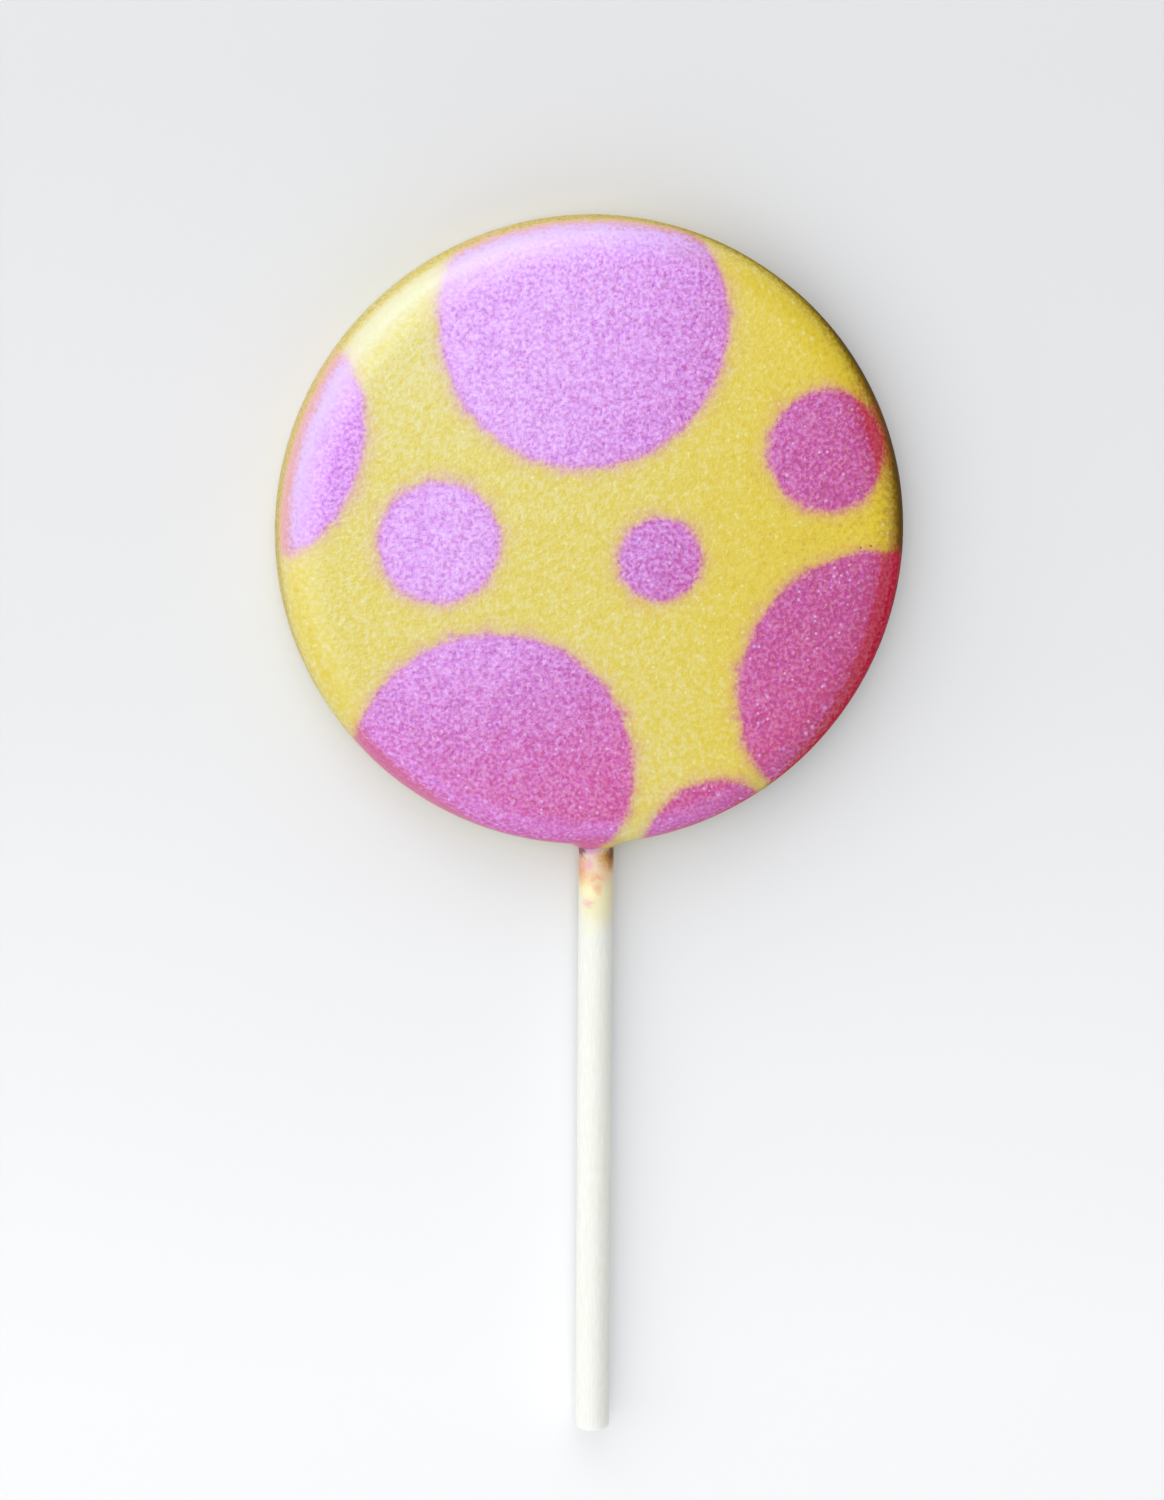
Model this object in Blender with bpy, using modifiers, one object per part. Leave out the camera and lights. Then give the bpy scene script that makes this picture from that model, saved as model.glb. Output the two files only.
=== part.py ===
"""Chocolate lollipop, lying on its back with the decorated side up.

A round disc of moulded chocolate holds one end of a rolled paper stick. The disc is cast in an open
mould: it has an almost flat, faintly crowned face, a well rounded front edge, a short wall with draft
and a flat back. Where the stick leaves the rim, a thin collar of chocolate runs out along it.

Origin: the centre of the disc's flat back. +Z points out of the decorated face, and the stick
points to -Y. All sizes are in metres.
"""

import math

import bpy

# Disc
DISC_RADIUS = 0.0350  # widest, where the wall meets the back's broken edge
DISC_THICKNESS = 0.0086  # at the middle of the face
CROWN_RISE = 0.00025  # the middle of the face above the start of the rounded edge
SHOULDER_WIDTH = 0.0046  # how far the rounded front edge reaches in
SHOULDER_HEIGHT = 0.0048  # and down
WALL_DRAFT = math.radians(3.0)
BACK_EDGE = 0.00035  # radius of the broken edge round the back

# Stick: 4.5 inches of 5/32 inch rolled paper
STICK_RADIUS = 0.0020
STICK_LENGTH = 0.1143
STICK_FREE = 0.0700  # length outside the rim
STICK_HEIGHT = 0.0032  # axis above the back
STICK_OFFSET = 0.0004  # axis beside the disc's centre line, at the rim
STICK_LEAN = math.radians(0.35)  # free end towards -X
STICK_END_EDGE = 0.00015  # pressed edge of the cut ends

# Collar of chocolate round the stick at the rim
COLLAR_REACH = 0.0006  # beyond the rim
COLLAR_DEPTH = 0.0004  # of its foot, inside the rim
COLLAR_LIP = 0.00025  # wall at its thin end
COLLAR_FOOT = 0.0004  # what the fillet adds to the lip's radius at the rim
COLLAR_ROOT = 0.0030  # how far its core runs into the disc

GAP = 0.0003  # between the stick and the chocolate

# Facets
DISC_SIDES = 96
CROWN_RINGS = 5
SHOULDER_RINGS = 10
BACK_EDGE_RINGS = 3
STICK_SIDES = 32
FILLET_RINGS = 5
SMOOTH_ANGLE = math.radians(40)


def start_empty():
    for old in list(bpy.data.objects):
        bpy.data.objects.remove(old, do_unlink=True)


def new_collection(name):
    collection = bpy.data.collections.new(name)
    bpy.context.scene.collection.children.link(collection)
    return collection


def new_material(name, colour, roughness, metallic):
    material = bpy.data.materials.new(name)
    material.use_nodes = True
    shader = material.node_tree.nodes["Principled BSDF"]
    shader.inputs["Base Color"].default_value = (*colour, 1.0)
    shader.inputs["Roughness"].default_value = roughness
    shader.inputs["Metallic"].default_value = metallic
    return material


def arc(centre, radii, start, end, steps):
    """Points (x, z) on an ellipse round centre, from one angle in degrees to another."""
    points = []
    for step in range(steps + 1):
        angle = math.radians(start + (end - start) * step / steps)
        points.append((centre[0] + radii[0] * math.cos(angle), centre[1] + radii[1] * math.sin(angle)))
    return points


def turned(name, collection, profile, sides):
    """A closed body turned round local Z, from a profile that runs down its outer side."""
    mesh = bpy.data.meshes.new(name)
    edges = [(i, i + 1) for i in range(len(profile) - 1)]
    mesh.from_pydata([(x, 0.0, z) for x, z in profile], edges, [])
    body = bpy.data.objects.new(name, mesh)
    collection.objects.link(body)
    screw = body.modifiers.new("turn", "SCREW")
    screw.axis = "Z"
    screw.angle = math.tau
    screw.steps = screw.render_steps = sides
    screw.use_merge_vertices = True
    screw.merge_threshold = 0.00001
    return body


def lay_along_stick(body):
    """Puts a body's local origin where the stick leaves the rim, with local +Z into the disc."""
    body.location = (STICK_OFFSET, -DISC_RADIUS, STICK_HEIGHT)
    body.rotation_euler = (math.radians(-90.0), 0.0, -STICK_LEAN)


def add_boolean(body, tool, operation):
    tool.hide_render = True
    tool.display_type = "WIRE"
    cut = body.modifiers.new(tool.name, "BOOLEAN")
    cut.operation = operation
    cut.solver = "EXACT"
    cut.object = tool


def disc_profile():
    """Crown, rounded edge, wall with draft, broken edge and back, from the axis outwards and down."""
    wall_bottom = BACK_EDGE
    wall_top = DISC_THICKNESS - CROWN_RISE - SHOULDER_HEIGHT
    wall_top_radius = DISC_RADIUS - (wall_top - wall_bottom) * math.tan(WALL_DRAFT)
    crown_radius = wall_top_radius - SHOULDER_WIDTH
    crown = []
    for ring in range(CROWN_RINGS):
        share = ring / CROWN_RINGS
        crown.append((crown_radius * share, DISC_THICKNESS - CROWN_RISE * share**2))
    shoulder = arc((crown_radius, wall_top), (SHOULDER_WIDTH, SHOULDER_HEIGHT), 90, 0, SHOULDER_RINGS)
    edge_centre = (DISC_RADIUS - BACK_EDGE, BACK_EDGE)
    back_edge = arc(edge_centre, (BACK_EDGE, BACK_EDGE), 0, -90, BACK_EDGE_RINGS)
    return crown + shoulder + back_edge + [(0.0, 0.0)]


def collar_profile():
    """A core inside the disc and a hollow fillet that thins out along the stick."""
    lip_radius = STICK_RADIUS + GAP + COLLAR_LIP
    foot_radius = lip_radius + COLLAR_FOOT
    fillet_length = COLLAR_REACH + COLLAR_DEPTH
    fillet = arc((foot_radius, -COLLAR_REACH), (COLLAR_FOOT, fillet_length), 90, 180, FILLET_RINGS)
    return [(0.0, COLLAR_ROOT), (foot_radius, COLLAR_ROOT)] + fillet + [(0.0, -COLLAR_REACH)]


def make_disc(parts, cutters):
    disc = turned("chocolate_disc", parts, disc_profile(), DISC_SIDES)
    collar = turned("collar", cutters, collar_profile(), STICK_SIDES)
    lay_along_stick(collar)
    add_boolean(disc, collar, "UNION")

    socket_inner = STICK_LENGTH - STICK_FREE + GAP
    socket_outer = -0.003
    radius = STICK_RADIUS + GAP
    outline = [(0.0, socket_inner), (radius, socket_inner), (radius, socket_outer), (0.0, socket_outer)]
    socket = turned("stick_socket", cutters, outline, STICK_SIDES)
    lay_along_stick(socket)
    add_boolean(disc, socket, "DIFFERENCE")
    return disc


def make_stick(parts):
    inner = STICK_LENGTH - STICK_FREE
    pressed = (STICK_RADIUS - STICK_END_EDGE, STICK_END_EDGE)
    top_edge = arc((pressed[0], inner - pressed[1]), (pressed[1], pressed[1]), 90, 0, 2)
    end_edge = arc((pressed[0], -STICK_FREE + pressed[1]), (pressed[1], pressed[1]), 0, -90, 2)
    outline = [(0.0, inner)] + top_edge + end_edge + [(0.0, -STICK_FREE)]
    stick = turned("stick", parts, outline, STICK_SIDES)
    lay_along_stick(stick)
    return stick


def finish(body, material):
    """Turns the modifiers into mesh, shaded smooth up to its real edges, and gives it its material."""
    bpy.context.view_layer.update()
    evaluated = body.evaluated_get(bpy.context.evaluated_depsgraph_get())
    mesh = bpy.data.meshes.new_from_object(evaluated)
    body.modifiers.clear()
    body.data = mesh
    mesh.materials.clear()
    mesh.materials.append(material)
    mesh.shade_smooth()
    mesh.set_sharp_from_angle(angle=SMOOTH_ANGLE)


def main():
    start_empty()
    parts = new_collection("chocolate_lollipop")
    cutters = new_collection("cutters")
    disc = make_disc(parts, cutters)
    stick = make_stick(parts)
    finish(disc, new_material("gold_lustre_chocolate", (0.72, 0.62, 0.16), 0.42, 0.35))
    finish(stick, new_material("rolled_white_paper", (0.86, 0.86, 0.83), 0.7, 0.0))


main()
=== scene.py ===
import math

import bpy
from mathutils import Euler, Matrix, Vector


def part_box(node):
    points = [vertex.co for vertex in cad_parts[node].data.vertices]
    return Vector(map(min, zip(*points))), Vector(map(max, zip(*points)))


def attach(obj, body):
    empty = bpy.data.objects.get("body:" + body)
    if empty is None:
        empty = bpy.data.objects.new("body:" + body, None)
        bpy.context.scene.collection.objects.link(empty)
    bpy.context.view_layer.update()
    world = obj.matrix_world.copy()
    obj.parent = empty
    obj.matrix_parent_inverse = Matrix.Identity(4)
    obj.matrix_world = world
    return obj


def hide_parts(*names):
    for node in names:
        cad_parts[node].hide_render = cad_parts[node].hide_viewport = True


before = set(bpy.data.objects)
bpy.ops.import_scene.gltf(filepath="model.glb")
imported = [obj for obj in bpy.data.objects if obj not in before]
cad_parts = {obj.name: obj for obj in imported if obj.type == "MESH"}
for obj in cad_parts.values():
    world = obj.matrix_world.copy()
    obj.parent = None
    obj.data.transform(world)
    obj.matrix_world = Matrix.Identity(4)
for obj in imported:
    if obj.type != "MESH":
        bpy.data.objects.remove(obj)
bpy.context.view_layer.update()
bpy.ops.object.select_all(action="DESELECT")

# ---------------------------------------------------------------------------------------------
# Chocolate disc. One solid casting from an open round mould: a faintly crowned face, a rounded
# front edge, a short wall with draft and a flat back. Set chocolate crept a little way along the
# stick as a thin collar. All of it is sprayed with gold lustre, then dotted through a stencil.
# ---------------------------------------------------------------------------------------------

MM = 0.001
disc_high = Vector(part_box("chocolate_disc")[1])
disc_radius = disc_high.x
disc_top = disc_high.z
crown_rise = 0.25 * MM
shoulder_width, shoulder_height = 5.3 * MM, 4.8 * MM
squareness = 2.4  # of the shoulder: 2 is an ellipse, which would start with a visible line
wall_draft = math.radians(3.0)
back_edge = 0.35 * MM
subdivision_pull = 0.05 * MM  # what the subdivision takes off a convex edge
disc_sides = 200

stick_radius = 2.0 * MM
stick_height = 3.2 * MM
stick_offset = 0.4 * MM
stick_lean = math.radians(0.35)


def pick_vertices(piece, test):
    """Selects the vertices whose place passes a test, with the faces between them."""
    bpy.ops.object.mode_set(mode="OBJECT")
    vertices = piece.data.vertices
    for vertex in vertices:
        vertex.select = test(vertex.co)
    for part in (*piece.data.edges, *piece.data.polygons):
        part.select = all(vertices[number].select for number in part.vertices)
    bpy.ops.object.mode_set(mode="EDIT")


def pick_open_edge():
    """Selects the open edge of the mesh in edit mode."""
    bpy.ops.mesh.select_mode(type="EDGE")
    bpy.ops.mesh.select_all(action="DESELECT")
    bpy.ops.mesh.select_non_manifold(
        extend=False, use_wire=False, use_multi_face=False, use_non_contiguous=False, use_verts=False
    )


def grow_ring(old, new):
    """Extrudes the selected ring from one (radius, height) to the next."""
    bpy.ops.mesh.extrude_edges_move(TRANSFORM_OT_translate={"value": (0.0, 0.0, new[1] - old[1])})
    share = new[0] / old[0]
    bpy.ops.transform.resize(value=(share, share, 1.0), center_override=(0.0, 0.0, new[1]))


wall_top = disc_top - crown_rise - shoulder_height
wall_top_radius = disc_radius - (wall_top - back_edge) * math.tan(wall_draft)
crown_radius = wall_top_radius - shoulder_width
face_edge = (crown_radius, disc_top - crown_rise)
profile = [face_edge]
for turn in (7, 16, 27, 39, 52, 65, 78, 90):
    turn = math.radians(turn)
    out = (shoulder_width + subdivision_pull) * math.sin(turn) ** (2 / squareness)
    up = (shoulder_height + subdivision_pull) * max(math.cos(turn), 0.0) ** (2 / squareness)
    profile.append((crown_radius + out, wall_top + up))
for height in (2.6 * MM, 1.6 * MM, 0.7 * MM):
    drafted = disc_radius - (height - back_edge) * math.tan(wall_draft)
    profile.append((drafted + subdivision_pull, height))
profile.append((disc_radius, 0.4 * back_edge))
profile.append((disc_radius - back_edge, 0.0))

bpy.ops.mesh.primitive_circle_add(
    vertices=disc_sides, radius=crown_radius, location=(0.0, 0.0, face_edge[1]), fill_type="NOTHING"
)
disc = bpy.context.object
disc.name = "lustre_disc"
bpy.ops.object.transform_apply(location=True, rotation=False, scale=False)
bpy.ops.object.mode_set(mode="EDIT")
bpy.ops.mesh.select_all(action="SELECT")
bpy.ops.mesh.fill_grid(span=disc_sides // 4)
pick_open_edge()
for old, new in zip(profile, profile[1:]):
    grow_ring(old, new)
bpy.ops.mesh.select_mode(type="VERT")
bpy.ops.mesh.select_all(action="SELECT")
bpy.ops.mesh.normals_make_consistent(inside=False)
bpy.ops.object.mode_set(mode="OBJECT")
for vertex in disc.data.vertices:
    if vertex.co.z > face_edge[1] - 0.001 * MM:
        vertex.co.z = disc_top - crown_rise * (vertex.co.xy.length / crown_radius) ** 2

finer = disc.modifiers.new("finer", "SUBSURF")
finer.levels = finer.render_levels = 2
bpy.ops.object.modifier_apply(modifier=finer.name)

# A cast face is never quite even: waves 3 mm long and a hundredth of a millimetre high
unevenness = bpy.data.textures.new("casting_unevenness", "CLOUDS")
unevenness.noise_scale = 3 * MM
ripple = disc.modifiers.new("ripple", "DISPLACE")
ripple.texture = unevenness
ripple.texture_coords = "LOCAL"
ripple.strength = 0.02 * MM
ripple.mid_level = 0.5
bpy.ops.object.modifier_apply(modifier=ripple.name)

# Two chips the size of a sugar grain, side by side where the face turns into the rounded edge
chips = ((30.3, -1.1, 0.26), (29.2, -1.25, 0.2))  # middle (x, y) and radius in millimetres
chip_depth = 0.05 * MM
bpy.ops.object.mode_set(mode="EDIT")
bpy.ops.mesh.select_mode(type="VERT")
for x, y, radius in chips:
    middle, radius = Vector((x * MM, y * MM)), radius * MM
    pick_vertices(disc, lambda place: place.z > 5 * MM and (place.xy - middle).length < 1.1 * radius)
    bpy.ops.transform.translate(
        value=(0.0, 0.0, -chip_depth),
        use_proportional_edit=True,
        proportional_edit_falloff="SMOOTH",
        proportional_size=radius,
    )
bpy.ops.object.mode_set(mode="OBJECT")


def off_axis(place):
    """Distance of a place from the stick's axis."""
    axis_x = stick_offset + (place.y + disc_radius) * math.tan(stick_lean)
    return math.hypot(place.x - axis_x, place.z - stick_height)


# The collar: the wall round the stick is drawn out along it
collar_reach = 0.6 * MM
pick_vertices(disc, lambda place: place.y < -30 * MM and off_axis(place) < stick_radius + 0.15 * MM)
bpy.ops.transform.translate(
    value=(0.0, -collar_reach, 0.0),
    use_proportional_edit=True,
    proportional_edit_falloff="SHARP",
    proportional_size=1.9 * MM,
)
# The flat back: one more ring, then a face that closes it
pick_open_edge()
bpy.ops.mesh.extrude_edges_move()
bpy.ops.transform.resize(value=(0.9, 0.9, 0.0), center_override=(0.0, 0.0, 0.0))
bpy.ops.mesh.edge_face_add()
bpy.ops.object.mode_set(mode="OBJECT")

# The chocolate set round the stick, so its hole is hardly wider
socket_depth = 44.6 * MM
socket_gap = 0.03 * MM
bpy.ops.mesh.primitive_cylinder_add(
    vertices=64,
    radius=stick_radius + socket_gap,
    depth=2 * socket_depth,
    location=(stick_offset, -disc_radius, stick_height),
    rotation=(math.radians(-90.0), 0.0, -stick_lean),
)
socket = bpy.context.object
bpy.context.view_layer.objects.active = disc
cut = disc.modifiers.new("socket", "BOOLEAN")
cut.operation = "DIFFERENCE"
cut.solver = "EXACT"
cut.object = socket
bpy.ops.object.modifier_apply(modifier=cut.name)
bpy.data.objects.remove(socket)
bpy.ops.object.select_all(action="DESELECT")
disc.select_set(True)
bpy.ops.object.shade_smooth_by_angle(angle=math.radians(50))


def linear(hex_colour):
    """An sRGB hex colour as the linear RGBA that shaders take."""
    channels = []
    for start in (0, 2, 4):
        value = int(hex_colour[start : start + 2], 16) / 255
        channels.append(value / 12.92 if value <= 0.04045 else ((value + 0.055) / 1.055) ** 2.4)
    return (*channels, 1.0)


def add_node(tree, kind, inputs=None, **settings):
    """Adds a node with its settings, and sets its inputs or links them to nodes and sockets."""
    node = tree.nodes.new(kind)
    for name, value in settings.items():
        setattr(node, name, value)
    for name, value in (inputs or {}).items():
        if isinstance(value, bpy.types.Node):
            value = value.outputs[0]
        socket = node.inputs[name]
        if settings.get("data_type") == "RGBA" and name in ("A", "B"):
            socket = next(each for each in node.inputs if each.name == name and each.type == "RGBA")
        if isinstance(value, bpy.types.NodeSocket):
            tree.links.new(value, socket)
        else:
            socket.default_value = value
    return node


# Mica lustre on chocolate: edible mica powder in spirit, airbrushed in two coats. The first is a
# yellow gold with a soft grain; the second, through a stencil, a rose pearl whose titania-coated
# flakes flash violet. It gives the eye grainy dots with a fuzzy, salmon-coloured edge.
lustre = bpy.data.materials.new("mica_lustre_on_chocolate")
lustre.use_nodes = True
tree = lustre.node_tree
tree.nodes.clear()
place = add_node(tree, "ShaderNodeTexCoord").outputs["Object"]
in_mm = add_node(tree, "ShaderNodeVectorMath", {0: place, "Scale": 1000.0}, operation="SCALE")
on_axes = add_node(tree, "ShaderNodeSeparateXYZ", {0: in_mm})
on_plan = add_node(
    tree, "ShaderNodeVectorMath", {0: in_mm, 1: (1.0, 1.0, 0.0)}, operation="MULTIPLY"
)
facing = add_node(tree, "ShaderNodeNewGeometry").outputs["Normal"]
facing_axes = add_node(tree, "ShaderNodeSeparateXYZ", {0: facing})


def soft_patch(x, y, inner, outer, strength):
    """Strength near a point, fading to nothing between two radii in millimetres."""
    from_middle = add_node(
        tree, "ShaderNodeVectorMath", {0: on_plan, 1: (x, y, 0.0)}, operation="DISTANCE"
    )
    return add_node(
        tree,
        "ShaderNodeMapRange",
        {
            "Value": from_middle.outputs["Value"],
            "From Min": inner,
            "From Max": outer,
            "To Min": strength,
            "To Max": 0.0,
        },
    )


# Distance to the edge of the nearest stencil hole: middle (x, y) and radius in millimetres
large, medium, small = 15.62, 6.51, 4.45
stencil_holes = (
    (-1.65, 23.9, large),
    (-41.3, 12.9, large),
    (-12.0, -25.7, large),
    (31.25, -17.4, large),
    (-17.6, 0.25, medium),
    (25.35, 9.6, medium),
    (13.2, -35.0, 7.75),
    (6.7, -2.05, small),
)
to_edge = None
for x, y, radius in stencil_holes:
    from_middle = add_node(
        tree, "ShaderNodeVectorMath", {0: on_plan, 1: (x, y, 0.0)}, operation="DISTANCE"
    )
    to_this = add_node(
        tree, "ShaderNodeMath", {0: from_middle.outputs["Value"], 1: radius}, operation="SUBTRACT"
    )
    if to_edge is not None:
        to_this = add_node(tree, "ShaderNodeMath", {0: to_edge, 1: to_this}, operation="MINIMUM")
    to_edge = to_this

# Powder grains 0.45 mm apart fray the edge, and the mist that crept under the stencil reaches
# further in patches 2 mm wide
grains = add_node(
    tree, "ShaderNodeTexNoise", {"Vector": in_mm, "Scale": 2.3, "Detail": 2.5, "Roughness": 0.6}
)
grain = add_node(tree, "ShaderNodeMath", {0: grains, 1: 0.5}, operation="SUBTRACT")
drifts = add_node(tree, "ShaderNodeTexNoise", {"Vector": in_mm, "Scale": 0.45, "Detail": 2.0})
drift = add_node(tree, "ShaderNodeMath", {0: drifts, 1: 0.5}, operation="SUBTRACT")
frayed = add_node(tree, "ShaderNodeMath", {0: grain, 1: 1.1, 2: to_edge}, operation="MULTIPLY_ADD")
mist = add_node(
    tree,
    "ShaderNodeMapRange",
    {"Value": to_edge, "From Min": -0.3, "From Max": 1.2, "To Min": 0.2, "To Max": 2.6},
)
drifted = add_node(tree, "ShaderNodeMath", {0: drift, 1: mist, 2: frayed}, operation="MULTIPLY_ADD")

# How much of the second coat lands at each distance outside the edge, in millimetres
landing = (
    (-1.6, 1.0),
    (-0.6, 0.97),
    (-0.3, 0.88),
    (-0.1, 0.68),
    (0.1, 0.46),
    (0.35, 0.26),
    (0.7, 0.13),
    (1.3, 0.04),
    (2.4, 0.0),
)
nearest, furthest = landing[0][0], landing[-1][0]
edge_span = add_node(
    tree, "ShaderNodeMapRange", {"Value": drifted, "From Min": nearest, "From Max": furthest}
)
covering = add_node(tree, "ShaderNodeValToRGB", {"Fac": edge_span})
elements = covering.color_ramp.elements
for number, (distance, share) in enumerate(landing):
    at = (distance - nearest) / (furthest - nearest)
    stop = elements[number] if number < 2 else elements.new(at)
    stop.position = at
    stop.color = (share, share, share, 1.0)

# How far the surface turns away from the front: level is 1 on the face and 0 on the wall, and the
# squares grow from 0 on the face to 1 on the wall at the right or left
level = add_node(tree, "ShaderNodeMath", {0: facing_axes.outputs["Z"]}, operation="ABSOLUTE")
lengthwise = add_node(tree, "ShaderNodeMath", {0: facing_axes.outputs["Y"]}, operation="ABSOLUTE")
to_left = add_node(tree, "ShaderNodeMath", {0: facing_axes.outputs["X"], 1: 0.0}, operation="MINIMUM")
to_right = add_node(tree, "ShaderNodeMath", {0: facing_axes.outputs["X"], 1: 0.0}, operation="MAXIMUM")
# How far the surface turns to the right, which carries painted shade on the right side
turned_right = add_node(tree, "ShaderNodeMath", {0: to_right, 1: to_right}, operation="MULTIPLY")
less_lengthwise = add_node(tree, "ShaderNodeMath", {0: lengthwise, 1: -0.5}, operation="MULTIPLY")
rims = []
for operation in ("ADD", "SUBTRACT"):
    sideways = add_node(
        tree, "ShaderNodeMath", {0: less_lengthwise, 1: facing_axes.outputs["X"]}, operation=operation
    )
    sideways = add_node(tree, "ShaderNodeMath", {0: sideways, 1: 0.0}, operation="MAXIMUM")
    rims.append(add_node(tree, "ShaderNodeMath", {0: sideways, 1: sideways}, operation="MULTIPLY"))
right_rim, left_rim = rims

# Where the coats reach: less and less down the wall, ending soonest on the right, partly as thinner
# spray and partly as painted shade on the side turned from the light, with brown chocolate between the
# last grains, and not in the two chips
reach = add_node(tree, "ShaderNodeMath", {0: lengthwise, 1: 0.25, 2: level}, operation="MULTIPLY_ADD")
reach = add_node(tree, "ShaderNodeMath", {0: to_left, 1: -0.27, 2: reach}, operation="MULTIPLY_ADD")
reach = add_node(tree, "ShaderNodeMath", {0: grain, 1: 0.9, 2: reach}, operation="MULTIPLY_ADD")
for x, y, radius in chips:
    bare = soft_patch(x, y, inner=0.4 * radius, outer=radius, strength=-1.0)
    reach = add_node(tree, "ShaderNodeMath", {0: reach, 1: bare}, operation="ADD")

# Painted shade: the violet flash, which is reflected light, is also taken off both sides and the
# rounded edge at the lower left; it is taken off the collar at the stick too
on_collar = add_node(
    tree,
    "ShaderNodeMapRange",
    {"Value": on_axes.outputs["Y"], "From Min": -34.3, "From Max": -35.3, "To Max": 0.09},
)
tilt = add_node(tree, "ShaderNodeMath", {0: 1.0, 1: level}, operation="SUBTRACT")
lower_left_shade = soft_patch(-25.5, -23.5, inner=8.0, outer=16.0, strength=0.25)
violet_taken_off = add_node(
    tree, "ShaderNodeMath", {0: lower_left_shade, 1: tilt, 2: on_collar}, operation="MULTIPLY_ADD"
)
violet_taken_off = add_node(tree, "ShaderNodeMath", {0: violet_taken_off, 1: right_rim}, operation="ADD")
violet_taken_off = add_node(tree, "ShaderNodeMath", {0: left_rim, 1: 0.06, 2: violet_taken_off}, operation="MULTIPLY_ADD")

# Violet ends before rose and rose before gold. The back is dusted with gold only
coat_ends = {}
for coat, side_mask, side_weight, lowest, highest in (
    ("violet", violet_taken_off, -6.0, 0.5, 0.9),
    ("rose", turned_right, 0.1, 0.3, 0.7),
    ("gold", turned_right, -1.6, -0.45, 0.8),
):
    sided_reach = add_node(tree, "ShaderNodeMath", {0: side_mask, 1: side_weight, 2: reach}, operation="MULTIPLY_ADD")
    coat_ends[coat] = add_node(
        tree,
        "ShaderNodeMapRange",
        {"Value": sided_reach, "From Min": lowest, "From Max": highest},
        interpolation_type="SMOOTHSTEP",
    )
front = add_node(
    tree, "ShaderNodeMapRange", {"Value": facing_axes.outputs["Z"], "From Min": -0.4, "From Max": -0.1}
)
dotted = add_node(
    tree, "ShaderNodeMath", {0: covering.outputs["Color"], 1: front}, operation="MULTIPLY"
)
rose_share = add_node(tree, "ShaderNodeMath", {0: dotted, 1: coat_ends["rose"]}, operation="MULTIPLY")
violet_share = add_node(
    tree, "ShaderNodeMath", {0: dotted, 1: coat_ends["violet"]}, operation="MULTIPLY"
)

# Spatter: one speck of undissolved powder to 2 or 3 square millimetres, up to 0.4 mm across
spatter = add_node(tree, "ShaderNodeTexVoronoi", {"Vector": in_mm, "Scale": 1.1})
chance = add_node(tree, "ShaderNodeSeparateColor", {0: spatter.outputs["Color"]})
landed = add_node(
    tree, "ShaderNodeMath", {0: chance.outputs["Red"], 1: 0.45}, operation="GREATER_THAN"
)
speck_radius = add_node(
    tree, "ShaderNodeMath", {0: chance.outputs["Blue"], 1: 0.2, 2: 0.2}, operation="MULTIPLY_ADD"
)
round_speck = add_node(
    tree,
    "ShaderNodeMapRange",
    {
        "Value": spatter.outputs["Distance"],
        "From Min": 0.08,
        "From Max": speck_radius,
        "To Min": 1.0,
        "To Max": 0.0,
    },
)
speck = add_node(tree, "ShaderNodeMath", {0: landed, 1: round_speck}, operation="MULTIPLY")


def fill_ramp(ramp, stops):
    """Gives a colour ramp its stops: position and sRGB hex colour."""
    elements = ramp.color_ramp.elements
    for number, (at, colour) in enumerate(stops):
        stop = elements[number] if number < 2 else elements.new(at)
        stop.position = at
        stop.color = linear(colour)


def fading_from(x, y, squeeze, nearest, furthest, full, faint):
    """Fades between two values with distance from a point, on a plan that is squeezed along Y."""
    squeezed = add_node(
        tree, "ShaderNodeVectorMath", {0: on_plan, 1: (1.0, squeeze, 0.0)}, operation="MULTIPLY"
    )
    from_point = add_node(
        tree, "ShaderNodeVectorMath", {0: squeezed, 1: (x, y, 0.0)}, operation="DISTANCE"
    )
    return add_node(
        tree,
        "ShaderNodeMapRange",
        {
            "Value": from_point.outputs["Value"],
            "From Min": nearest,
            "From Max": furthest,
            "To Min": full,
            "To Max": faint,
        },
        interpolation_type="SMOOTHSTEP",
    )


# Painted sheen: both coats are paler towards the upper left, where the light comes from, and this
# painted sheen is raised or lowered in patches: middle (x, y) and radius in millimetres, and how much
gold_painted_sheen = fading_from(
    -20.0, 23.2, squeeze=0.38, nearest=24.3, furthest=77.2, full=0.177, faint=-1.714
)
for x, y, radius, more in ((8.0, -28.0, 24.0, 0.75), (-20.0, 21.0, 13.0, 0.55)):
    patch = soft_patch(x, y, inner=0.0, outer=radius, strength=more)
    gold_painted_sheen = add_node(tree, "ShaderNodeMath", {0: gold_painted_sheen, 1: patch}, operation="ADD")
# Painted sheen on the rose: palest towards the upper left, raised or lowered in patches
rose_painted_sheen = fading_from(
    -20.4, 21.8, squeeze=0.6, nearest=13.4, furthest=81.7, full=0.624, faint=0.004
)
for x, y, radius, more in ((-28.5, 11.0, 11.0, -0.1), (-17.0, -9.0, 16.0, 0.045)):
    patch = soft_patch(x, y, inner=0.0, outer=radius, strength=more)
    rose_painted_sheen = add_node(tree, "ShaderNodeMath", {0: rose_painted_sheen, 1: patch}, operation="ADD")
upper_left = add_node(
    tree, "ShaderNodeVectorMath", {0: facing, 1: (-0.71, 0.7, 0.0)}, operation="DOT_PRODUCT"
).outputs["Value"]
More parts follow.
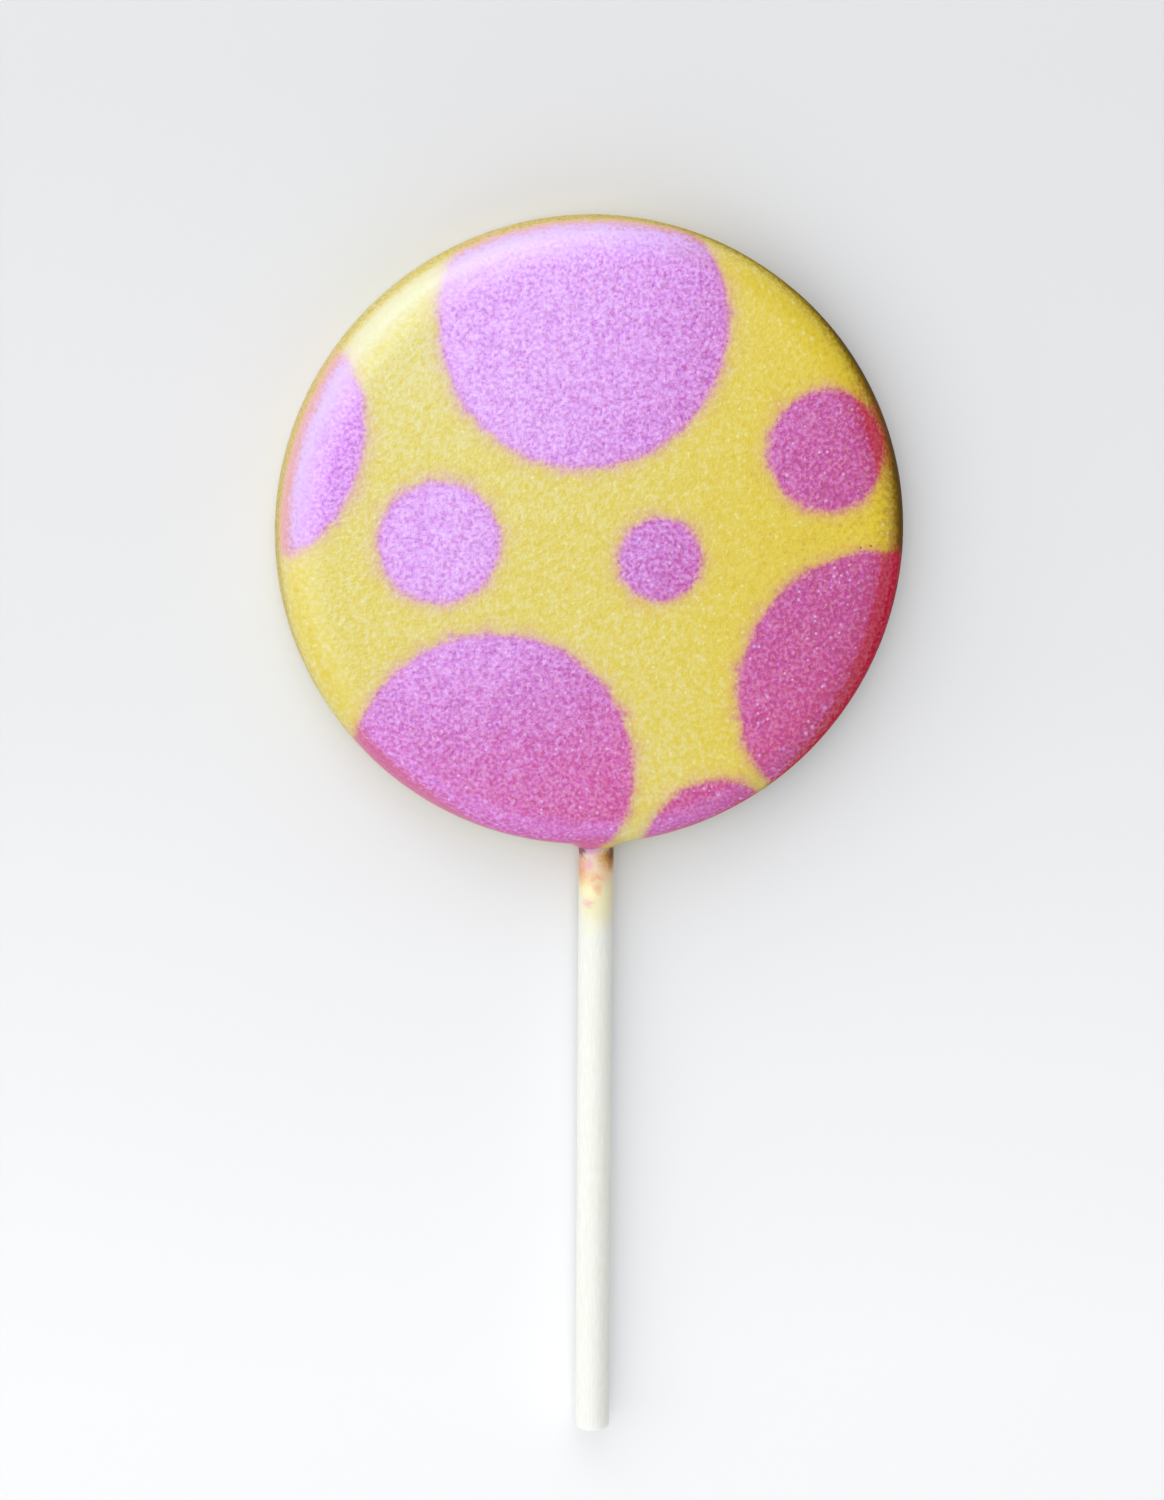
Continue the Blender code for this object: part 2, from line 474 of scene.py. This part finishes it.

# Gold tone: mottled between deep and pale yellow, and deepest at the right rim as painted shade. On the
# upper left shoulder a painted highlight makes it almost cream. Where the coat is thin, chocolate shows,
# and more so on the right as painted shade
mottles = add_node(
    tree, "ShaderNodeTexNoise", {"Vector": in_mm, "Scale": 1.7, "Detail": 3.5, "Roughness": 0.65}
)
gold_value = add_node(
    tree, "ShaderNodeMath", {0: gold_painted_sheen, 1: 0.2, 2: mottles}, operation="MULTIPLY_ADD"
)
# Painted shade: the gold deepens towards the right rim
gold_value = add_node(
    tree, "ShaderNodeMath", {0: right_rim, 1: -0.9, 2: gold_value}, operation="MULTIPLY_ADD"
)
gold_tone = add_node(tree, "ShaderNodeValToRGB", {"Fac": gold_value})
fill_ramp(gold_tone, ((0.04, "BC9200"), (0.3, "D9BC04"), (0.5, "DDC535"), (0.7, "E1D080")))
gold_speck = add_node(tree, "ShaderNodeMath", {0: speck, 1: 0.4}, operation="MULTIPLY")
specked_gold = add_node(
    tree,
    "ShaderNodeMix",
    {"Factor": gold_speck, "A": gold_tone.outputs["Color"], "B": linear("F2E6B4")},
    data_type="RGBA",
)
crosswise = add_node(
    tree, "ShaderNodeVectorMath", {0: facing, 1: (0.7, 0.71, 0.0)}, operation="DOT_PRODUCT"
).outputs["Value"]
crosswise = add_node(tree, "ShaderNodeMath", {0: crosswise}, operation="ABSOLUTE")
on_shoulder = add_node(
    tree, "ShaderNodeMath", {0: crosswise, 1: -0.3, 2: upper_left}, operation="MULTIPLY_ADD"
)
# Painted highlight: almost cream on the upper left shoulder, and none down the wall
highlight_ramp = add_node(tree, "ShaderNodeValToRGB", {"Fac": on_shoulder})
fill_ramp(highlight_ramp, ((0.26, "000000"), (0.6, "D8D8D8"), (0.86, "E4E4E4")))
above_wall = add_node(
    tree, "ShaderNodeMapRange", {"Value": level, "From Min": 0.13, "From Max": 0.5}
)
gold_highlight_share = add_node(
    tree, "ShaderNodeMath", {0: highlight_ramp.outputs["Color"], 1: above_wall}, operation="MULTIPLY"
)
highlighted_gold = add_node(
    tree,
    "ShaderNodeMix",
    {"Factor": gold_highlight_share, "A": specked_gold.outputs["Result"], "B": linear("DED9BA")},
    data_type="RGBA",
)
# Brown where the gold coat ends: thin coat, and on the right side also painted shade
thin_and_shaded_gold = add_node(
    tree,
    "ShaderNodeMix",
    {"Factor": coat_ends["gold"], "A": linear("5A4208"), "B": highlighted_gold.outputs["Result"]},
    data_type="RGBA",
)

# Rose tone: grain by grain between deep rose and lilac, lilac towards the upper left as painted sheen,
# more coral towards the stick, with a few coral and lilac specks, and a painted highlight on the upper
# left shoulder
rose_value = add_node(
    tree, "ShaderNodeMath", {0: grain, 1: 0.3, 2: rose_painted_sheen}, operation="MULTIPLY_ADD"
)
rose_tone = add_node(tree, "ShaderNodeValToRGB", {"Fac": rose_value})
rose_tones = (
    (0.1, "CC0826"),
    (0.26, "D53C5C"),
    (0.37, "DD5680"),
    (0.47, "DE76AF"),
    (0.564, "ED97D2"),
    (0.66, "F5B5E1"),
    (0.85, "FFD8F4"),
)
fill_ramp(rose_tone, rose_tones)
near_stick = add_node(
    tree,
    "ShaderNodeMapRange",
    {"Value": on_axes.outputs["Y"], "From Min": -8.0, "From Max": -26.0, "To Max": 0.25},
)
coral_rose = add_node(
    tree,
    "ShaderNodeMix",
    {"Factor": near_stick, "A": rose_tone.outputs["Color"], "B": linear("FF5A68")},
    data_type="RGBA",
)
glinting = add_node(tree, "ShaderNodeMath", {0: grain, 1: 0.85}, operation="MULTIPLY")
grainy_rose = add_node(
    tree,
    "ShaderNodeMix",
    {"Factor": glinting, "A": coral_rose.outputs["Result"], "B": (0.95, 0.8, 1.0, 1.0)},
    data_type="RGBA",
    blend_type="ADD",
    clamp_factor=False,
    clamp_result=True,
)
hue_drift = add_node(
    tree,
    "ShaderNodeVectorMath",
    {0: grains.outputs["Color"], 1: (0.0, 0.3, 0.5), 2: (0.0, -0.15, -0.25)},
    operation="MULTIPLY_ADD",
)
hued_rose = add_node(
    tree,
    "ShaderNodeMix",
    {"Factor": 1.0, "A": grainy_rose.outputs["Result"], "B": hue_drift},
    data_type="RGBA",
    blend_type="ADD",
    clamp_result=True,
)
speck_tone = add_node(tree, "ShaderNodeValToRGB", {"Fac": chance.outputs["Green"]})
fill_ramp(speck_tone, ((0.0, "E84C64"), (0.18, "FFD2F0"), (0.75, "E2B4FF")))
speck_tone.color_ramp.interpolation = "CONSTANT"
rose_speck = add_node(tree, "ShaderNodeMath", {0: speck, 1: 0.75}, operation="MULTIPLY")
specked_rose = add_node(
    tree,
    "ShaderNodeMix",
    {"Factor": rose_speck, "A": hued_rose.outputs["Result"], "B": speck_tone.outputs["Color"]},
    data_type="RGBA",
)
# Painted highlight: the rose turns pale and nearly white on the upper left shoulder
rose_highlight_share = add_node(
    tree,
    "ShaderNodeMapRange",
    {"Value": upper_left, "From Min": 0.04, "From Max": 0.62, "To Max": 0.85},
)
highlighted_rose = add_node(
    tree,
    "ShaderNodeMix",
    {"Factor": rose_highlight_share, "A": specked_rose.outputs["Result"], "B": linear("E8CBE0")},
    data_type="RGBA",
)

# Where the violet flash ends, plain rose over gold shows: a painted highlight makes it salmon at the
# left and painted shade makes it crimson on the right
right_shade_share = add_node(
    tree, "ShaderNodeMath", {0: turned_right, 1: 12.0}, operation="MULTIPLY", use_clamp=True
)
deep_rose = add_node(
    tree,
    "ShaderNodeMix",
    {"Factor": right_shade_share, "A": linear("CC4A84"), "B": linear("BC2444")},
    data_type="RGBA",
)
deep_rose_highlighted = add_node(
    tree,
    "ShaderNodeMix",
    {"Factor": rose_highlight_share, "A": deep_rose.outputs["Result"], "B": linear("E0A29C")},
    data_type="RGBA",
)
grainy_deep_rose = add_node(
    tree,
    "ShaderNodeMix",
    {"Factor": glinting, "A": deep_rose_highlighted.outputs["Result"], "B": (0.4, 0.22, 0.3, 1.0)},
    data_type="RGBA",
    blend_type="ADD",
    clamp_factor=False,
    clamp_result=True,
)
dusted = add_node(
    tree,
    "ShaderNodeMix",
    {"Factor": rose_share, "A": thin_and_shaded_gold.outputs["Result"], "B": grainy_deep_rose.outputs["Result"]},
    data_type="RGBA",
)

# The powder lies unevenly, up to 0.06 mm high, and is duller where it thins out
dullness = add_node(
    tree,
    "ShaderNodeMapRange",
    {"Value": coat_ends["gold"], "From Min": 0.3, "From Max": 0.9, "To Min": 0.7, "To Max": 0.38},
)
grit = add_node(
    tree,
    "ShaderNodeBump",
    {"Height": grains, "Distance": 0.06 * MM, "Strength": 1.0, "Filter Width": 0.1},
)

# Three finishes, grain beside grain: gold mica, rose mica whose titania coat has the IOR of rutile
# and flashes violet, and chocolate with the IOR of cocoa butter, which hardly shines
gold_coat = add_node(
    tree,
    "ShaderNodeBsdfPrincipled",
    {
        "Base Color": dusted.outputs["Result"],
        "Roughness": dullness,
        "IOR": 2.1,
        "Specular IOR Level": 0.5,
        "Specular Tint": (0.39, 0.78, 1.0, 1.0),
        "Normal": grit,
    },
)
rose_coat = add_node(
    tree,
    "ShaderNodeBsdfPrincipled",
    {
        "Base Color": highlighted_rose.outputs["Result"],
        "Roughness": dullness,
        "IOR": 2.6,
        "Specular IOR Level": 1.0,
        "Specular Tint": (0.32, 0.33, 0.97, 1.0),
        "Normal": grit,
    },
)
bare_chocolate = add_node(
    tree,
    "ShaderNodeBsdfPrincipled",
    {
        "Base Color": dusted.outputs["Result"],
        "Roughness": 0.75,
        "IOR": 1.46,
        "Specular IOR Level": 0.1,
        "Normal": grit,
    },
)
# Painted shade: towards the right the gold is mixed with the dull chocolate finish and shines less
duller_to_right = add_node(
    tree,
    "ShaderNodeMapRange",
    {"Value": on_axes.outputs["X"], "From Min": 4.0, "From Max": 30.0, "To Max": 0.3},
)
golden = add_node(tree, "ShaderNodeMixShader", {0: duller_to_right, 1: gold_coat, 2: bare_chocolate})
pearly = add_node(tree, "ShaderNodeMixShader", {0: violet_share, 1: golden, 2: rose_coat})
covered = add_node(
    tree, "ShaderNodeMapRange", {"Value": coat_ends["gold"], "From Min": 0.45, "From Max": 0.95}
)
coats = add_node(tree, "ShaderNodeMixShader", {0: covered, 1: bare_chocolate, 2: pearly})
add_node(tree, "ShaderNodeOutputMaterial", {"Surface": coats})
disc.data.materials.append(lustre)
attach(disc, "root")
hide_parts("chocolate_disc")

# ---------------------------------------------------------------------------------------------
# Stick. One sheet of white paper rolled tight into a rod 4 mm thick: its outer edge runs along it
# as a low step, and the pressed cut at the free end shows the turns. Cocoa butter and colour have
# soaked in for a centimetre below the chocolate.
# ---------------------------------------------------------------------------------------------

stick_length = 114.3 * MM
free_end = -70.0 * MM
inner_end = free_end + stick_length
pressed = 0.15 * MM  # how far the cut edges are rounded
sheet = 0.045 * MM  # height of the step at the outer edge of the sheet
seam_turn = math.radians(40)  # below the right side
sheet_pitch = 0.3 * MM  # between the turns at the cut: the real 0.1 mm is too fine to show
groove = 0.05 * MM

bpy.ops.object.select_all(action="DESELECT")
bpy.ops.mesh.primitive_circle_add(
    vertices=96, radius=stick_radius, location=(0.0, 0.0, free_end + pressed), fill_type="NOTHING"
)
stick = bpy.context.object
stick.name = "paper_stick"
bpy.ops.object.transform_apply(location=True, rotation=False, scale=False)
for vertex in stick.data.vertices:
    wrapped = ((math.atan2(vertex.co.y, vertex.co.x) - seam_turn) / math.tau) % 1.0
    vertex.co.xy = vertex.co.xy * (1 - wrapped * sheet / stick_radius)

bpy.ops.object.mode_set(mode="EDIT")
bpy.ops.mesh.select_all(action="SELECT")
heights = (free_end + pressed, -40 * MM, -10 * MM, inner_end - pressed)
rings = [(stick_radius, height) for height in heights]
rings += [(stick_radius - 0.05 * MM, inner_end - 0.04 * MM), (stick_radius - pressed, inner_end)]
for old, new in zip(rings, rings[1:]):
    grow_ring(old, new)
bpy.ops.mesh.edge_face_add()
pick_open_edge()
rings = [(stick_radius, free_end + pressed), (stick_radius - 0.05 * MM, free_end + 0.04 * MM)]
rings += [(stick_radius - pressed - turn * sheet_pitch / 4, free_end) for turn in range(24)]
for old, new in zip(rings, rings[1:]):
    grow_ring(old, new)
bpy.ops.mesh.merge(type="CENTER")
bpy.ops.mesh.select_all(action="SELECT")
bpy.ops.mesh.normals_make_consistent(inside=False)
bpy.ops.object.mode_set(mode="OBJECT")
for vertex in stick.data.vertices:
    out = vertex.co.xy.length
    if vertex.co.z < free_end + 0.01 * MM and 0.1 * MM < out < stick_radius - 1.5 * pressed:
        turn = math.atan2(vertex.co.y, vertex.co.x) / math.tau
        vertex.co.z += groove * (0.5 - 0.5 * math.cos(math.tau * (out / sheet_pitch - turn)))

stick.location = (stick_offset, -disc_radius, stick_height)
stick.rotation_euler = (math.radians(-90.0), 0.0, -stick_lean)
bpy.ops.object.transform_apply(location=True, rotation=True, scale=False)
bpy.ops.object.shade_smooth_by_angle(angle=math.radians(15))

# Rolled white paper: matt, slightly translucent, with faint fibres along the roll, and soaked
# with lustre, cocoa butter and a smear of chocolate next to the disc
paper = bpy.data.materials.new("rolled_white_paper")
paper.use_nodes = True
tree = paper.node_tree
tree.nodes.clear()
place = add_node(tree, "ShaderNodeTexCoord").outputs["Object"]
on_stick = add_node(
    tree,
    "ShaderNodeMapping",
    {
        "Vector": place,
        "Location": (stick_offset, -disc_radius, stick_height),
        "Rotation": (math.radians(-90.0), 0.0, -stick_lean),
        "Scale": (MM, MM, MM),
    },
    vector_type="TEXTURE",
)
stretched = add_node(
    tree, "ShaderNodeVectorMath", {0: on_stick, 1: (5.0, 5.0, 0.6)}, operation="MULTIPLY"
)
fibres = add_node(tree, "ShaderNodeTexNoise", {"Vector": stretched, "Scale": 1.0, "Detail": 3.0})
paper_tone = add_node(tree, "ShaderNodeValToRGB", {"Fac": fibres})
fill_ramp(paper_tone, ((0.3, "DADBD4"), (0.7, "E2E3DD")))

# Stains seep along the fibres, so their edges wander by half a millimetre
seep = add_node(
    tree, "ShaderNodeTexNoise", {"Vector": on_stick, "Scale": 2.0, "Detail": 3.0, "Roughness": 0.6}
)
seeped = add_node(
    tree, "ShaderNodeVectorMath", {0: seep.outputs["Color"], 1: (-0.5, -0.5, -0.5)}, operation="ADD"
)
seeped = add_node(
    tree, "ShaderNodeVectorMath", {0: seeped, 1: (1.3, 0.0, 1.6), 2: on_stick}, operation="MULTIPLY_ADD"
)
# Stains: middle across and along, half width and half length in millimetres, colour, strength
stains = (
    (0.9, -5.4, 1.9, 4.0, "D9D2A8", 0.8),
    (-0.6, -5.0, 2.2, 4.4, "E2DBB2", 0.9),
    (-1.0, -9.6, 0.9, 1.0, "DDE2CA", 0.6),
    (-0.9, -7.4, 0.7, 0.7, "D8DFAE", 0.7),
    (-1.0, -6.6, 0.7, 0.65, "DFAAB0", 0.7),
    (0.0, -3.0, 2.8, 1.7, "DDBE9C", 1.0),
    (-1.6, -4.3, 1.0, 1.1, "E4CC96", 0.9),
    (-1.2, -5.3, 1.0, 1.0, "E9E3BC", 0.9),
    (-0.1, -4.9, 0.5, 0.65, "DBA878", 0.7),
    (-0.2, -3.5, 0.7, 0.45, "DC9F74", 0.9),
    (-1.9, -2.4, 0.75, 1.9, "DF9F80", 1.0),
    (-0.4, -1.6, 1.3, 1.8, "DFCDB4", 1.0),
    (-1.1, -2.1, 0.6, 0.6, "DEA9B8", 0.9),
    (-0.7, -0.5, 1.1, 0.7, "D49CC4", 1.0),
    (0.8, -1.3, 1.1, 1.2, "C8954A", 1.0),
    (1.55, -1.7, 0.7, 1.4, "AE7530", 1.0),
    (1.6, -0.9, 0.8, 1.0, "74380C", 1.0),
    (-1.9, -0.7, 0.6, 0.7, "84465E", 1.0),
)
stained = paper_tone.outputs["Color"]
for across, along, wide, long, colour, strength in stains:
    spread = add_node(
        tree,
        "ShaderNodeVectorMath",
        {0: seeped, 1: (1 / wide, 0.0, 1 / long), 2: (-across / wide, 0.0, -along / long)},
        operation="MULTIPLY_ADD",
    )
    from_middle = add_node(tree, "ShaderNodeVectorMath", {0: spread}, operation="LENGTH").outputs["Value"]
    soaked = add_node(
        tree,
        "ShaderNodeMapRange",
        {"Value": from_middle, "From Min": 1.45, "From Max": 0.1, "To Max": strength},
        interpolation_type="SMOOTHSTEP",
    )
    stained = add_node(
        tree,
        "ShaderNodeMix",
        {"Factor": soaked, "A": stained, "B": linear(colour)},
        data_type="RGBA",
    ).outputs["Result"]
fibre_relief = add_node(
    tree,
    "ShaderNodeBump",
    {"Height": fibres, "Distance": 0.02 * MM, "Strength": 1.0, "Filter Width": 0.1},
)
sheet_surface = add_node(
    tree,
    "ShaderNodeBsdfPrincipled",
    {
        "Base Color": stained,
        "Roughness": 0.6,
        "Subsurface Weight": 0.85,
        "Subsurface Radius": (1.0, 1.0, 1.0),
        "Subsurface Scale": 3 * MM,
        "Normal": fibre_relief,
    },
)
add_node(tree, "ShaderNodeOutputMaterial", {"Surface": sheet_surface})
stick.data.materials.append(paper)
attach(stick, "root")
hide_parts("stick")

# ---------------------------------------------------------------------------------------------
# Floor, light and camera. A matt pale board under round softboxes, in a dim white room. The large
# softbox at the left and the low one at the back give the disc's rim its glow.
# ---------------------------------------------------------------------------------------------

bpy.ops.mesh.primitive_plane_add(size=12.0, location=(0.0, 0.0, -0.2 * MM))
floor = bpy.context.object
floor.name = "floor"

# Matt pale board with painted shade: a little darker towards the top of the picture, where the low
# softbox at the back lights it most
board = bpy.data.materials.new("matt_pale_board")
board.use_nodes = True
tree = board.node_tree
tree.nodes.clear()
place = add_node(tree, "ShaderNodeTexCoord").outputs["Object"]
on_axes = add_node(tree, "ShaderNodeSeparateXYZ", {0: place})
graded = add_node(
    tree, "ShaderNodeMapRange", {"Value": on_axes.outputs["Y"], "From Min": -0.10, "From Max": 0.05}
)
board_tone = add_node(tree, "ShaderNodeValToRGB", {"Fac": graded})
fill_ramp(board_tone, ((0.0, "ECEDEF"), (0.33, "E4E5E7"), (0.55, "DDDEE0"), (1.0, "D6D7D9")))
board_surface = add_node(
    tree, "ShaderNodeBsdfPrincipled", {"Base Color": board_tone.outputs["Color"], "Roughness": 0.9}
)
add_node(tree, "ShaderNodeOutputMaterial", {"Surface": board_surface})
floor.data.materials.append(board)

# Dim white room; a camera that looks past the board sees it as a pale backdrop
world = bpy.data.worlds.new("studio")
world.use_nodes = True
tree = world.node_tree
tree.nodes.clear()
seen = add_node(tree, "ShaderNodeLightPath").outputs["Is Camera Ray"]
strength = add_node(tree, "ShaderNodeMapRange", {"Value": seen, "To Min": 0.2, "To Max": 0.8})
room = add_node(tree, "ShaderNodeBackground", {"Color": (1.0, 1.0, 1.0, 1.0), "Strength": strength})
add_node(tree, "ShaderNodeOutputWorld", {"Surface": room})
bpy.context.scene.world = world

softbox_distance = 1.2


def add_softbox(name, turn, rise, width, watts):
    """A round softbox aimed at the disc; turn is from +X and rise from the floor, in degrees."""
    turn, rise = math.radians(turn), math.radians(rise)
    flat = math.cos(rise)
    towards = Vector((math.cos(turn) * flat, math.sin(turn) * flat, math.sin(rise)))
    light = bpy.data.lights.new(name, "AREA")
    light.shape = "DISK"
    light.size = width
    light.energy = watts
    softbox = bpy.data.objects.new(name, light)
    softbox.location = softbox_distance * towards
    softbox.rotation_euler = (-towards).to_track_quat("-Z", "Y").to_euler()
    softbox.visible_camera = False
    bpy.context.scene.collection.objects.link(softbox)


add_softbox("large_left", 145, 49, 2.4, 17.0)
add_softbox("low_back", 97, 10, 1.68, 10.5)
add_softbox("low_left", 180, 10, 1.12, 1.3)
add_softbox("overhead", 150, 80, 0.69, 2.0)
add_softbox("back", 75, 55, 0.69, 0.9)
add_softbox("left", 210, 40, 0.69, 0.3)
add_softbox("front", 262, 25, 1.68, 7.5)
add_softbox("right_fill", 330, 12, 2.4, 3.0)

camera_data = bpy.data.cameras.new("camera")
camera_data.sensor_width = 36.0
camera_data.lens = 80.7
camera_data.clip_start = 0.01
camera = bpy.data.objects.new("camera", camera_data)
camera.location = (-0.0515, 0.0523, 0.3692)
camera.rotation_euler = Euler((math.radians(-11.71), math.radians(-7.82), 0.0))
bpy.context.scene.collection.objects.link(camera)
bpy.context.scene.camera = camera
bpy.context.scene.view_settings.view_transform = "Standard"
